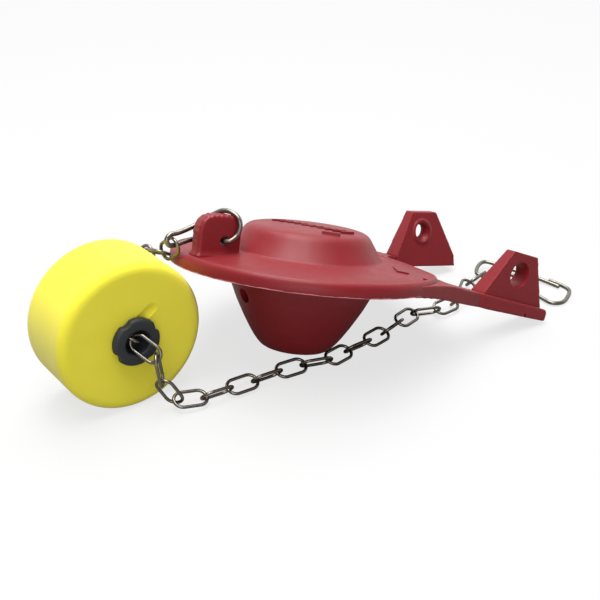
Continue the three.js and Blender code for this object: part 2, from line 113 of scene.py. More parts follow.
def gather(piece, others):
    """Adds the shells of other pieces to a piece, as they are."""
    work = bmesh.new()
    work.from_mesh(piece.data)
    for other in others:
        work.from_mesh(other.data)
        discard(other)
    work.to_mesh(piece.data)
    work.free()


def fuse(piece, voxel, smoothing):
    """One skin round all the shells, with the soft corners of a moulding."""
    step = piece.modifiers.new("fuse", "REMESH")
    step.mode = "VOXEL"
    step.voxel_size = voxel * MM
    settle(piece)
    if smoothing:
        step = piece.modifiers.new("soften", "SMOOTH")
        step.factor = 0.5
        step.iterations = smoothing
        settle(piece)


def soft_edges(piece, width, segments, angle=30):
    step = piece.modifiers.new("edges", "BEVEL")
    step.width = width * MM
    step.segments = segments
    step.limit_method = "ANGLE"
    step.angle_limit = math.radians(angle)
    settle(piece)


def shade_smooth(piece, angle=None):
    piece.data.polygons.foreach_set("use_smooth", [True] * len(piece.data.polygons))
    if angle is not None:
        piece.data.set_sharp_from_angle(angle=math.radians(angle))
    piece.data.update()


def vertices_of(piece):
    flat = np.empty(len(piece.data.vertices) * 3, dtype=np.float64)
    piece.data.vertices.foreach_get("co", flat)
    return flat.reshape(-1, 3) / MM


def set_vertices(piece, points):
    piece.data.vertices.foreach_set("co", (np.asarray(points) * MM).ravel())
    piece.data.update()


def revolved(name, profile, facets):
    """A closed body turned about Z from (radius, height) pairs that start and end on the axis or close up."""
    closed = profile[0][0] > 1e-6
    points, rings = [], []
    for radius, height in profile:
        if radius < 1e-6:
            rings.append([len(points)] * facets)
            points.append((0, 0, height))
        else:
            rings.append(list(range(len(points), len(points) + facets)))
            for i in range(facets):
                angle = 2 * math.pi * i / facets
                points.append((radius * math.cos(angle), radius * math.sin(angle), height))
    pairs = list(zip(rings, rings[1:] + rings[:1])) if closed else list(zip(rings, rings[1:]))
    faces = []
    for low, high in pairs:
        for i in range(facets):
            j = (i + 1) % facets
            corners = []
            for corner in (low[i], low[j], high[j], high[i]):
                if corner not in corners:
                    corners.append(corner)
            if len(corners) > 2:
                faces.append(corners)
    return piece_from(name, points, faces)


def extruded(name, outline, start, depth):
    """A prism: the outline's (u, v) pairs in X and Y, from start up by depth along Z."""
    count = len(outline)
    points = [(u, v, start) for u, v in outline] + [(u, v, start + depth) for u, v in outline]
    faces = [list(range(count)), list(range(count, 2 * count))]
    faces += [[i, (i + 1) % count, count + (i + 1) % count, count + i] for i in range(count)]
    return piece_from(name, points, faces)


def round_bar(name, centre, direction, radius, length, facets=48):
    points = []
    turn = Vector(direction).to_track_quat("Z", "Y")
    for end in (-0.5, 0.5):
        for i in range(facets):
            angle = 2 * math.pi * i / facets
            around = Vector((radius * math.cos(angle), radius * math.sin(angle), end * length))
            points.append(Vector(centre) + turn @ around)
    faces = [list(range(facets)), list(range(facets, 2 * facets))]
    faces += [[i, (i + 1) % facets, facets + (i + 1) % facets, facets + i] for i in range(facets)]
    return piece_from(name, points, faces)


def arc(centre, radius, start, end, steps):
    turns = [math.radians(start + (end - start) * i / steps) for i in range(steps + 1)]
    return [(centre[0] + radius * math.cos(t), centre[1] + radius * math.sin(t)) for t in turns]


def smooth_route(points, closed, spacing=0.25):
    """Points evenly along a centripetal Catmull-Rom curve through the given ones."""
    knots = [np.array(p, dtype=float) for p in points]
    if closed:
        knots = [knots[-1]] + knots + [knots[0], knots[1]]
    else:
        knots = [2 * knots[0] - knots[1]] + knots + [2 * knots[-1] - knots[-2]]
    route = []
    for a, b, c, d in zip(knots, knots[1:], knots[2:], knots[3:]):
        t0 = 0.0
        t1 = t0 + max(np.linalg.norm(b - a), 1e-6) ** 0.5
        t2 = t1 + max(np.linalg.norm(c - b), 1e-6) ** 0.5
        t3 = t2 + max(np.linalg.norm(d - c), 1e-6) ** 0.5
        steps = max(4, int(np.linalg.norm(c - b) / spacing))
        for t in np.linspace(t1, t2, steps, endpoint=False):
            a1 = (t1 - t) / (t1 - t0) * a + (t - t0) / (t1 - t0) * b
            a2 = (t2 - t) / (t2 - t1) * b + (t - t1) / (t2 - t1) * c
            a3 = (t3 - t) / (t3 - t2) * c + (t - t2) / (t3 - t2) * d
            b1 = (t2 - t) / (t2 - t0) * a1 + (t - t0) / (t2 - t0) * a2
            b2 = (t3 - t) / (t3 - t1) * a2 + (t - t1) / (t3 - t1) * a3
            route.append((t2 - t) / (t2 - t1) * b1 + (t - t1) / (t2 - t1) * b2)
    if not closed:
        route.append(knots[-2])
    return route


def bent_wire(name, route, diameter, closed, sides=14, nose=0.35):
    """A round wire along a route, with its ends slightly rounded where it is open."""
    radius = diameter / 2
    count = len(route)
    along = []
    for i in range(count):
        before = route[i - 1] if closed or i else route[0]
        after = route[(i + 1) % count] if closed or i < count - 1 else route[-1]
        along.append((after - before) / np.linalg.norm(after - before))
    across = [np.cross(along[0], (0.3, 0.2, 0.93))]
    across[0] /= np.linalg.norm(across[0])
    for i in range(1, count):
        side = across[-1] - along[i] * np.dot(across[-1], along[i])
        across.append(side / np.linalg.norm(side))
    twist = 0.0
    if closed:
        side = across[-1] - along[0] * np.dot(across[-1], along[0])
        twist = math.atan2(np.dot(np.cross(side, across[0]), along[0]), np.dot(side, across[0]))
    stations = [(route[i], along[i], across[i], radius, twist * i / count) for i in range(count)]
    if not closed:
        head = (route[0] - along[0] * nose * radius, along[0], across[0], radius * 0.72, 0.0)
        tail = (route[-1] + along[-1] * nose * radius, along[-1], across[-1], radius * 0.72, 0.0)
        stations = [head] + stations + [tail]
    points, faces = [], []
    for place, forward, side, reach, turn in stations:
        other = np.cross(forward, side)
        for k in range(sides):
            angle = 2 * math.pi * k / sides + turn
            points.append(place + reach * (math.cos(angle) * side + math.sin(angle) * other))
    rings = len(stations)
    for i in range(rings if closed else rings - 1):
        low, high = i * sides, ((i + 1) % rings) * sides
        faces += [[low + k, low + (k + 1) % sides, high + (k + 1) % sides, high + k] for k in range(sides)]
    if not closed:
        faces += [list(range(sides)), list(range((rings - 1) * sides, rings * sides))]
    return piece_from(name, points, faces)


def placed(points, axes, origin):
    """Points from a piece's own frame to the part's frame."""
    return np.asarray(points) @ np.array(axes) + np.array(origin)


# The frames of the flapper and the float, as they lie

flapper_axes = [(0.96836, 0.0, -0.24956), (-0.04685, 0.98222, -0.18179), (0.24513, 0.18772, 0.95114)]
flapper_origin = (-8.29976, -0.21588, 23.79712)
float_axes = [(0.99357, 0.1132, 0.0), (0.0, 0.0, 1.0), (0.1132, -0.99357, 0.0)]
float_origin = (-65.1151, 3.76031, 21.24149)


# Flapper: one rubber moulding. Near is the side of the lower arm, at -Y, and far the other one.

NEAR, FAR = -1, 1
disc_radius = 39.0
dome_foot, dome_foot_height = 22.9, 5.25
disc_slope = 0.127
crown_height = 13.25
cone_wall = 2.4
arm_outer, arm_width, arm_top, arm_bottom = 26.0, 7.6, 2.0, -1.3
arm_inner = arm_outer - arm_width
arm_end = {NEAR: 76.2, FAR: 74.5}
web_thickness, web_end = 3.0, 43.0
sag_start, sag_end = 24.0, 46.0
near_sag, far_sag = math.radians(10.6), math.radians(-1.7)
disc_lift, lift_start, lift_end = 1.15, 22.0, 44.0
ear_foot, ear_top = 2.4, 16.8
peg_hole_x = {NEAR: 61.2, FAR: 60.1}
peg_hole_height = {NEAR: 10.05, FAR: 10.35}
peg_hole_waist = {NEAR: 3.25, FAR: 1.85}
tab_left, tab_right, tab_thickness, tab_top = -36.2, -23.1, 4.8, 15.25
tab_hole_x, tab_hole_height = -28.4, 9.3


def smoothstep(value, start, end):
    """Eases from 0 at the start to 1 at the end."""
    share = np.clip((value - start) / (end - start), 0, 1)
    return share * share * (3 - 2 * share)


def stand(piece, across):
    """Turns an outline drawn in X and Y upright: its Y becomes the height, and across its place along Y."""
    points = vertices_of(piece)
    set_vertices(piece, np.column_stack([points[:, 0], across, points[:, 1]]))
    turn_faces_out(piece)


def cone_radius(depth):
    """The bowl-shaped cone's outside, from the disc's underside to its foot."""
    depths = (0, 1.2, 4.2, 6.2, 9.2, 12.2, 15.2, 18.2, 20.2, 21.75, 22.75, 23.2)
    radii = (21.5, 21.4, 20.9, 20.3, 18.95, 17.35, 15.65, 13.8, 12.4, 11.1, 9.95, 9.0)
    return float(np.interp(depth, depths, radii))


def dome_disc_and_cone():
    """Turned in one: over the dome and the disc to the rim, down the cone to its foot, and up inside."""
    dome = [(0, crown_height), (6, 13.2), (11, 13.0), (14.2, 12.8), (15.7, 12.62), (16.7, 12.38)]
    dome += [(17.5, 12.0), (18.15, 11.45), (18.7, 10.75), (19.3, 9.85), (22.0, 5.85), (22.35, 5.5)]
    slope = [(dome_foot, dome_foot_height), (27, 4.65), (32, 4.05), (35.9, 3.6)]
    groove = [(36.4, 3.42), (36.75, 3.38), (37.05, 3.55)]
    bead = [(37.35, 3.78), (37.7, 3.82), (38.1, 3.66), (38.5, 3.3), (38.8, 2.75), (38.95, 2.1)]
    rim = [(disc_radius, 1.5), (disc_radius, 0.35), (38.93, 0.1), (38.7, 0)]
    under = [(22.9, 0), (22.2, -0.12), (21.75, -0.45)]
    outside = [(cone_radius(depth), -depth) for depth in np.linspace(0.9, 22.6, 34)]
    foot = [(9.0, -23.2), (8.3, -23.42), (7.6, -23.55), (6.1, -23.5)]
    inside = [(cone_radius(depth) - cone_wall, -depth) for depth in np.linspace(22.2, 0, 24)]
    ceiling = [(19.4, 4.4), (16.2, 9.9), (15.2, 10.6), (12.5, 10.85), (0, 11.0)]
    over = dome + slope + groove + bead + rim
    return revolved("flapper_rubber", over + under + outside + foot + inside + ceiling, 224)


def web_between_arms():
    """A plate that leaves the rim at a tangent on both sides, with a bay between the arms."""
    start, corner, inset, inside, steps = 47.0, 5.0, 0.25, 22.6, 12
    leave = math.atan2(arm_outer, start) + math.acos(disc_radius / math.hypot(start, arm_outer))
    edge = ((disc_radius - inset) * math.cos(leave), (disc_radius - inset) * math.sin(leave))
    half = arc((0, 0), inside, 0, math.degrees(leave), 16) + [edge]
    for i in range(1, steps + 1):
        half.append((edge[0] + (start - edge[0]) * i / steps, edge[1] + (arm_outer - edge[1]) * i / steps))
    half += [(start, arm_inner)] + arc((web_end + corner, arm_inner - corner), corner, 90, 180, 8)
    web = extruded("web", half + [(x, -y) for x, y in reversed(half)], 0.02, web_thickness)
    points = vertices_of(web)
    x, y, z = points.T.copy()
    clear_of_cone = np.hypot(x, y) > 24
    near = y < -10
    drop = np.where(z < 1, np.where(near, 2.3, 1.1), np.where(near, 1.0, 0.4))
    points[:, 2] -= drop * smoothstep(x, 6, 34) * clear_of_cone
    set_vertices(web, points)
    return web


def arm(side):
    """A bar under each ear, a little wider than the web's edge where the mould's halves meet."""
    start, end, mould_line, nose = sag_end + 1.5, arm_end[side], 0.22, 1.4
    heel, toe = arm_bottom + (-1.0 if side == NEAR else 0), arm_bottom + (-0.4 if side == NEAR else 0.4)
    outline = [(start, arm_top), (start, heel + 0.1), (start + 3, heel), (end - 0.3, toe), (end, toe + 0.4)]
    outline += arc((end - nose, arm_top - nose), nose, 0, 90, 8)
    bar = extruded("arm", outline, 0, arm_width)
    outer_side = vertices_of(bar)[:, 2] > 1
    stand(bar, side * np.where(outer_side, arm_outer + mould_line, arm_inner + 0.8))
    return bar


def waisted_hole(side):
    """The bore's shape: oval, narrow in the middle, widening in a curve to both faces."""
    inner_mouth, outer_mouth, half_length, past, taller = 3.05, 3.85, 2.6, 3.0, 1.13
    waist = peg_hole_waist[side]
    profile = [(0, -half_length - past), (inner_mouth, -half_length - past)]
    for share in np.linspace(-1, 1, 21):
        mouth = inner_mouth if share < 0 else outer_mouth
        profile.append((waist + (mouth - waist) * abs(share) ** 1.7, share * half_length))
    profile += [(outer_mouth, half_length + past), (0, half_length + past)]
    bore = revolved("bore", profile, 56)
    points = vertices_of(bore)
    turned = np.column_stack([points[:, 0], side * points[:, 2], taller * points[:, 1]])
    set_vertices(bore, turned + np.array((peg_hole_x[side], side * 22.5, peg_hole_height[side])))
    turn_faces_out(bore)
    return bore


def inner_face(height):
    """How far from the middle an ear's inner face is: it leans outward from its foot."""
    return 18.45 + (height - ear_foot) * 2.9 / (ear_top - ear_foot)


def ear(side):
    """A wedge plate on the arm, set back from its outer side, with a peg hole through it."""
    root = ear_foot - 3.6
    outline = [(49.0, root), (74.5, root), (74.3, ear_foot)]
    outline += [(66.6, ear_top), (56.2, ear_top), (49.3, ear_foot)]
    plate = extruded("ear", outline, 0, 1)
    height, depth = vertices_of(plate).T[1:]
    outer_face = 24.5 + 0.5 * (height - ear_foot) / (ear_top - ear_foot)
    stand(plate, side * np.where(depth > 0.5, outer_face, inner_face(height)))
    gather(plate, [hole_lip(side)])
    fuse(plate, 0.28, 2)
    join_or_cut(plate, [waisted_hole(side)], "DIFFERENCE")
    return plate


def hole_lip(side):
    """A raised round lip at the hole's mouth, leaning with the ear's inner face."""
    radius, wide, taller, sunk, steps = 3.3, 1.4, 1.1, 0.15, 64
    route = []
    for i in range(steps):
        angle = 2 * math.pi * i / steps
        height = peg_hole_height[side] + taller * radius * math.sin(angle)
        x = peg_hole_x[side] + radius * math.cos(angle)
        route.append(np.array([x, side * (inner_face(height) + sunk), height]))
    return bent_wire("lip", route, wide, True, 12)


def pull_tab():
    """The tab that the ring hangs in: round top corners, a low flare at its foot, an uneven crest."""
    corner, edge, foot, hole_radius = 4.4, 1.0, 2.4, 1.45
    middle, half_width = (tab_left + tab_right) / 2, (tab_right - tab_left) / 2
    outline = [(tab_left, foot), (tab_right, foot)]
    outline += arc((tab_right - corner, tab_top - corner), corner, 0, 90, 12)
    outline += arc((tab_left + corner, tab_top - corner), corner, 90, 180, 12)
    block = extruded("tab", outline, -tab_thickness / 2, tab_thickness)
    soft_edges(block, edge, 5, 50)
    stand(block, vertices_of(block)[:, 2])
    fuse(block, 0.32, 2)
    points = vertices_of(block)
    flare = 0.55 * np.clip((5.6 - points[:, 2]) / 1.6, 0, 1) ** 2
    points[:, 0] += (points[:, 0] - middle) * flare / half_width
    points[:, 1] += points[:, 1] * flare / (tab_thickness / 2)
    x, height = points[:, 0].copy(), points[:, 2].copy()
    crest = np.clip((height - 13.2) / 1.6, 0, 1)
    points[:, 2] += 0.13 * crest * (np.sin(2.1 * x) * np.sin(1.7 * x + 1) + 0.6 * np.sin(4.3 * x + 2))
    height = points[:, 2].copy()
    flank = np.clip((tab_left + 1.2 - x) / 1.2, 0, 1) * np.clip((height - 7) / 2, 0, 1)
    points[:, 0] -= 0.2 * flank * np.sin(2.6 * height) * np.sin(1.3 * height + 0.6)
    set_vertices(block, points)
    hole = round_bar("hole", (tab_hole_x, 0, tab_hole_height - disc_lift), (0, 1, 0), hole_radius, 20)
    join_or_cut(block, [hole], "DIFFERENCE")
    return block


def turned_block(name, x, y, turn, length, width, start, depth):
    """An upright block on a rectangle whose long side is turned by an angle."""
    way = math.radians(turn)
    corners = []
    for u, v in ((-1, -1), (1, -1), (1, 1), (-1, 1)):
        a, b = u * length / 2, v * width / 2
        corners.append((x + a * math.cos(way) - b * math.sin(way), y + a * math.sin(way) + b * math.cos(way)))
    return extruded(name, corners, start, depth)


def moulding_marks():
    """Low raised pads on the disc's slope beside the web."""
    marks = ((17.8, 22.6, -66, 5.4, 3.4, 0.35), (21.5, 29.4, -50, 2.0, 1.5, 0.3))
    pads = []
    for side in (NEAR, FAR):
        for x, y, turn, length, width, height in marks:
            pad = turned_block("pad", x, side * y, side * turn, length, width, 2.0, 2.0)
            points = vertices_of(pad)
            out = np.hypot(points[:, 0], points[:, 1])
            top = dome_foot_height - disc_slope * (out - dome_foot) + height
            points[:, 2] = np.where(points[:, 2] > 3, top, 2.0)
            set_vertices(pad, points)
            pads.append(pad)
    return pads


def crown_ribs():
    """A plain row of even, slanted ribs on the dome's top."""
    way, pitch, count = math.radians(-62), 2.5, 10
    wide, root, height = 0.8, 12.6, 0.92
    ribs = []
    for i in range(count):
        reach = pitch * i - 11.2
        x, y = 0.2 + reach * math.cos(way), -1.6 + reach * math.sin(way)
        ribs.append(turned_block("rib", x, y, 0, 4.4, wide, root, height))
    ribs.append(turned_block("rib", -1.6, -14.0, -38, 5.2, wide, root, height))
    return ribs


def sagged(points):
    """The disc sits a little high on the web, and the soft arms bend down, each by its own angle."""
    points = points.copy()
    x, y = points[:, 0], points[:, 1]
    points[:, 2] += disc_lift * (1 - smoothstep(x, lift_start, lift_end))
    z = points[:, 2].copy()
    sag = near_sag + (far_sag - near_sag) * smoothstep(y, -arm_inner, arm_inner)
    curvature = sag / (sag_end - sag_start)
    bent = np.clip(x, sag_start, sag_end) - sag_start
    angle = curvature * bent
    straight = np.maximum(x - sag_end, 0)
    flat = np.abs(curvature) <= 1e-9
    safe = np.where(flat, 1.0, curvature)
    forward = np.where(flat, bent, np.sin(angle) / safe)
    drop = np.where(flat, 0, (1 - np.cos(angle)) / safe)
    moved = x > sag_start
    new_x = sag_start + forward + straight * np.cos(angle) + z * np.sin(angle)
    new_z = -drop - straight * np.sin(angle) + z * np.cos(angle)
    points[:, 0] = np.where(moved, new_x, x)
    points[:, 2] = np.where(moved, new_z, z)
    return points


def rim_flash():
    """The thin ragged fin that the mould's joint leaves along the rim's lower edge, clear of the web."""
    first, sweep, steps, thickness = 64, 232, 420, 0.3
    route = []
    for i in range(steps):
        angle = math.radians(first + sweep * i / (steps - 1))
        wander = 0.06 * math.sin(23 * angle) + 0.05 * math.sin(57 * angle + 1) + 0.03 * math.sin(131 * angle)
        reach = disc_radius - 0.12 + wander
        route.append(np.array([reach * math.cos(angle), reach * math.sin(angle), 0.06 + 0.5 * wander]))
    return bent_wire("flash", route, thickness, False, 8)


def mark_fin(piece, from_vertex):
    """Notes which points belong to the pale fin, for the finish."""
    fin = piece.data.attributes.new("fin", "FLOAT", "POINT")
    fin.data.foreach_set("value", [float(i >= from_vertex) for i in range(len(piece.data.vertices))])


def notch_under_arm():
    """A small nick in the near arm's lower edge."""
    notch = extruded("notch", [(66.2, -3), (67.6, -3), (67.3, -0.85), (66.5, -0.95)], 0, 4)
    stand(notch, vertices_of(notch)[:, 2] - 28)
    return notch


def flapper():
    body = dome_disc_and_cone()
    bleed = round_bar("bleed", (-20, -1.1, -6.2 - disc_lift), (1, 0.05, 0), 2.1, 22)
    join_or_cut(body, [bleed], "DIFFERENCE")
    arms = web_between_arms()
    gather(arms, [arm(NEAR), arm(FAR)])
    fuse(arms, 0.36, 2)
    join_or_cut(arms, [notch_under_arm()], "DIFFERENCE")
    join_or_cut(arms, [ear(NEAR), ear(FAR)], "UNION")
    join_or_cut(body, [arms, pull_tab()], "UNION")
    gather(body, moulding_marks() + crown_ribs())
    count = len(body.data.vertices)
    gather(body, [rim_flash()])
    mark_fin(body, count)
    set_vertices(body, placed(sagged(vertices_of(body)), flapper_axes, flapper_origin))
    shade_smooth(body, 38)
    return body


# Wire ring, chain and clip

ring_wire = 1.4


def ring_route():
    """Out of the tab's hole, up its front, over its top corner, back along its far side, and home."""
    beside, tip, hole, high = 3.6, tab_hole_x - 14.8, tab_hole_x, tab_hole_height
    return smooth_route([
        (hole, 0, high), (hole + 0.1, -2.5, high), (hole + 1.0, -beside + 0.1, high + 0.3),
        (hole + 2.8, -beside, high + 1.7), (hole + 3.7, -beside + 0.1, high + 4.2),
        (hole + 3.4, -beside + 0.8, high + 6.4), (hole + 2.3, -1.0, high + 7.7),
        (hole + 0.7, 1.6, high + 7.9), (hole - 1.6, 3.4, high + 6.3),
        (hole - 6.0, 3.9, high + 3.3), (tip + 3.6, beside - 0.2, high + 1.1),
        (tip + 0.8, beside - 0.4, high + 0.3), (tip, beside - 0.5, high - 1.1),
        (tip + 0.9, beside - 0.5, high - 2.4), (tip + 2.6, beside - 0.4, high - 2.3),
        (hole - 7.5, beside, high - 0.8), (hole - 3.4, beside + 0.3, high - 0.2),
        (hole - 0.9, beside + 0.1, high), (hole, 2.4, high),
    ], True)


def tab_ring():
    ring = bent_wire("tab_ring_wire", ring_route(), ring_wire, True, 16)
    set_vertices(ring, placed(vertices_of(ring), flapper_axes, flapper_origin))
    shade_smooth(ring)
    return ring


clip_wire = 1.3
clip_place = (65.285, 6.16, 2.369)
clip_corner = Vector((21.0, -20.0, 0.0))


def lever_clip():
    """Drawn flat from its straight end round the eye and the loop, then tilted onto the floor."""
    beside = clip_wire + 0.3
    route = smooth_route([
        (19.4, -17.6, 0), (17.2, -10.4, 0), (14.0, -2.8, 0), (11.3, 3.1, 0), (8.3, 7.6, 0), (3.8, 5.8, 0),
        (-0.2, 0.9, 0), (2.3, -1.8, 0), (7.3, -2.4, 0), (10.4, -4.4, 0), (9.1, -9.4, 0), (8.1, -15.4, 0),
        (8.4, -21.4, 0), (9.1, -25.4, 0), (12.3, -26.6, 0), (16.8, -24.6, 0), (21.0, -20.8, 0),
        (19.4 + beside, -17.2, 0), (18.2 + beside, -12.8, 0),
    ], False)
    clip = bent_wire("lever_clip_wire", route, clip_wire, False, 14)
    tilt = math.asin((clip_place[2] - clip_wire / 2) / clip_corner.length)
    axis = Vector((clip_corner.y, -clip_corner.x, 0)).normalized()
    turn = np.array(Matrix.Rotation(-tilt, 3, axis))
    set_vertices(clip, vertices_of(clip) @ turn.T + np.array(clip_place))
    shade_smooth(clip)
    return clip


link_length, link_width, link_wire = 10.3, 5.8, 0.95


def add_node(tree, kind, settings=None, inputs=None):
    """One node with its settings, and its inputs as values or as links from other nodes."""
    made = tree.nodes.new(kind)
    for name, value in (settings or {}).items():
        setattr(made, name, value)
    for name, value in (inputs or {}).items():
        if isinstance(value, bpy.types.NodeSocket):
            tree.links.new(value, made.inputs[name])
        else:
            made.inputs[name].default_value = value
    return made


def link_tree(wire_finish):
    """Puts an oval link on each point, turned by the point's own turn attribute."""
    tree = bpy.data.node_groups.new("chain_of_links", "GeometryNodeTree")
    tree.interface.new_socket("Geometry", in_out="INPUT", socket_type="NodeSocketGeometry")
    for name in ("Link Length", "Link Width", "Wire Radius"):
        tree.interface.new_socket(name, in_out="INPUT", socket_type="NodeSocketFloat")
    tree.interface.new_socket("Geometry", in_out="OUTPUT", socket_type="NodeSocketGeometry")
    given = add_node(tree, "NodeGroupInput").outputs
    frame_curve = add_node(tree, "GeometryNodeCurvePrimitiveQuadrilateral", {"mode": "RECTANGLE"},
                           {"Width": given["Link Length"], "Height": given["Link Width"]})
    half = add_node(tree, "ShaderNodeMath", {"operation": "MULTIPLY"}, {0: given["Link Width"], 1: 0.499})
    oval = add_node(tree, "GeometryNodeFilletCurve", {"mode": "POLY"},
                    {"Curve": frame_curve.outputs["Curve"], "Count": 9, "Radius": half.outputs[0]})
    even = add_node(tree, "GeometryNodeResampleCurve", None, {"Curve": oval.outputs["Curve"], "Count": 52})
    round_wire = add_node(tree, "GeometryNodeCurvePrimitiveCircle", None,
                          {"Resolution": 12, "Radius": given["Wire Radius"]})
    link = add_node(tree, "GeometryNodeCurveToMesh", None,
                    {"Curve": even.outputs["Curve"], "Profile Curve": round_wire.outputs["Curve"]})
    turn = add_node(tree, "GeometryNodeInputNamedAttribute", {"data_type": "FLOAT_VECTOR"}, {"Name": "turn"})
    turned = add_node(tree, "FunctionNodeEulerToRotation", None, {"Euler": turn.outputs["Attribute"]})
    spots = add_node(tree, "GeometryNodeMeshToPoints", None, {"Mesh": given["Geometry"]})
    chain = add_node(tree, "GeometryNodeInstanceOnPoints", None,
                     {"Points": spots.outputs["Points"], "Instance": link.outputs["Mesh"],
                      "Rotation": turned.outputs["Rotation"]})
    real = add_node(tree, "GeometryNodeRealizeInstances", None, {"Geometry": chain.outputs["Instances"]})
    smooth = add_node(tree, "GeometryNodeSetShadeSmooth", None, {"Geometry": real.outputs["Geometry"]})
    finished = add_node(tree, "GeometryNodeSetMaterial", None,
                        {"Geometry": smooth.outputs["Geometry"], "Material": wire_finish})
    add_node(tree, "NodeGroupOutput", None, {"Geometry": finished.outputs["Geometry"]})
    return tree


def link_frame(name):
    """Where a link's solid is, and its turn: the long way, the width and the flat side of the oval."""
    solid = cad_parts[name].data
    flat = np.empty(len(solid.vertices) * 3)
    solid.vertices.foreach_get("co", flat)
    corners = np.unique(np.round(flat.reshape(-1, 3), 7), axis=0)
    middle = corners.mean(axis=0)
    ways = np.linalg.eigh(np.cov((corners - middle).T))[1]
    long_way, wide_way = ways[:, 2], ways[:, 1]
    turned = Matrix([long_way, wide_way, np.cross(long_way, wide_way)]).transposed()
    return tuple(middle), tuple(turned.to_euler())


def chain(wire_finish):
    """Every link takes its place from its solid."""
    names = sorted(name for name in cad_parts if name.startswith("chain_link_"))
    places, turns = zip(*[link_frame(name) for name in names])
    mesh = bpy.data.meshes.new("chain")
    mesh.from_pydata(places, [], [])
    turn = mesh.attributes.new("turn", "FLOAT_VECTOR", "POINT")
    turn.data.foreach_set("vector", [c for t in turns for c in t])
    links = bpy.data.objects.new("chain_of_wire_links", mesh)
    bpy.context.scene.collection.objects.link(links)
    step = links.modifiers.new("links", "NODES")
    tree = link_tree(wire_finish)
    step.node_group = tree
    sizes = {"Link Length": (link_length - link_wire) * MM, "Link Width": (link_width - link_wire) * MM,
             "Wire Radius": link_wire / 2 * MM}
    for item in tree.interface.items_tree:
        if item.item_type == "SOCKET" and item.in_out == "INPUT" and item.name in sizes:
            step[item.identifier] = sizes[item.name]
    settle(links)
    turn_faces_out(links)
    shade_smooth(links)
    return links, names


# Float and plug

float_radius, float_length, float_edge = 21.2, 21.5, 2.6
bore_drop, bore_radius = 0.2, 5.0
plug_hole, plug_flange = 3.55, 6.8


def foam_float():
    half, inner = float_length / 2, float_radius - float_edge
    profile = [(0, -half)] + arc((inner, -half + float_edge), float_edge, -90, 0, 10)
    profile += arc((inner, half - float_edge), float_edge, 0, 90, 10) + [(0, half)]
    body = revolved("foam_float", profile, 128)
    bore = round_bar("bore", (0, -bore_drop, 0), (0, 0, 1), bore_radius, 60)
    join_or_cut(body, [bore], "DIFFERENCE")
    fuse(body, 0.45, 3)
    join_or_cut(body, [sloping_slot(half)], "DIFFERENCE")
    set_vertices(body, placed(vertices_of(body), float_axes, float_origin))
    shade_smooth(body, 35)
    return body


def sloping_slot(half):
    """A short slot beside the plug, with a floor that slopes up to the face at its lower side."""
    reach, width, turn, place = 6.5, 3.2, math.radians(32), (3.15, 5.6)
    deep, shallow = 1.35, 0.15
    outline = arc((-reach / 2, 0), width / 2, 90, 270, 14) + arc((reach / 2, 0), width / 2, -90, 90, 14)
    slot = extruded("slot", outline, half - 1, 3)
    points = vertices_of(slot)
    u, v, bottom = points[:, 0].copy(), points[:, 1].copy(), points[:, 2] < half
    floor = half - shallow - (deep - shallow) * (v / width + 0.5)
    points[:, 0] = place[0] + u * math.cos(turn) - v * math.sin(turn)
    points[:, 1] = place[1] + u * math.sin(turn) + v * math.cos(turn)
    points[:, 2] = np.where(bottom, floor, points[:, 2])
    set_vertices(slot, points)
    return slot


def float_plug():
    """Stem in the bore, a flange with four round notches on the foam, a hole for the chain."""
    stem, seat, front, back, rounding = 4.7, 0.3, 2.5, -9, 1.0
    notches, first, notch_radius, notch_depth = 4, 25, 2.3, 0.8
    profile = [(plug_hole, back), (stem - 0.4, back), (stem, back + 0.8), (stem, seat)]
    profile += [(plug_flange - 0.25, seat), (plug_flange, seat + 0.3)]
    profile += arc((plug_flange - rounding, front - rounding), rounding, 0, 90, 6)
    profile += [(plug_hole + 0.5, front), (plug_hole + 0.1, front - 0.15), (plug_hole, front - 0.6)]
    body = revolved("plug", profile, 96)
    cuts = []
    for i in range(notches):
        angle = math.radians(first + 360 / notches * i)
        reach = plug_flange + notch_radius - notch_depth
        centre = (reach * math.cos(angle), reach * math.sin(angle), seat + 2.0)
        cuts.append(round_bar("notch", centre, (0, 0, 1), notch_radius, 4.1))
    join_or_cut(body, cuts, "DIFFERENCE")
    fuse(body, 0.2, 3)
    points = vertices_of(body) + np.array([0, -bore_drop, float_length / 2])
    set_vertices(body, placed(points, float_axes, float_origin))
    body.name = "black_plug"
    shade_smooth(body)
    return body


# Finishes

def srgb(code):
    """A written sRGB colour as the linear values that shaders take."""
    channels = [int(code[i:i + 2], 16) / 255 for i in (1, 3, 5)]
    return tuple([c / 12.92 if c <= 0.04045 else ((c + 0.055) / 1.055) ** 2.4 for c in channels] + [1.0])


def new_finish(name):
    finish = bpy.data.materials.new(name)
    finish.use_nodes = True
    tree = finish.node_tree
    tree.nodes.clear()
    shader = add_node(tree, "ShaderNodeBsdfPrincipled")
    add_node(tree, "ShaderNodeOutputMaterial", None, {"Surface": shader.outputs["BSDF"]})
    where = add_node(tree, "ShaderNodeTexCoord").outputs["Object"]
    return finish, tree, shader, where


def per(size_mm):
    """A texture scale that repeats about once in this many millimetres."""
    return 1.0 / (size_mm * MM)


def noise(tree, where, size_mm, detail, roughness=0.5):
    """Soft noise, with its main swells about this many millimetres apart."""
    inputs = {"Vector": where, "Scale": per(size_mm), "Detail": detail, "Roughness": roughness}
    return add_node(tree, "ShaderNodeTexNoise", None, inputs).outputs["Fac"]


def two_tone(tree, share, first, second):
    """A colour between two, by a share from another node."""
    return add_node(tree, "ShaderNodeMix", {"data_type": "RGBA"}, {0: share, 6: first, 7: second}).outputs[2]


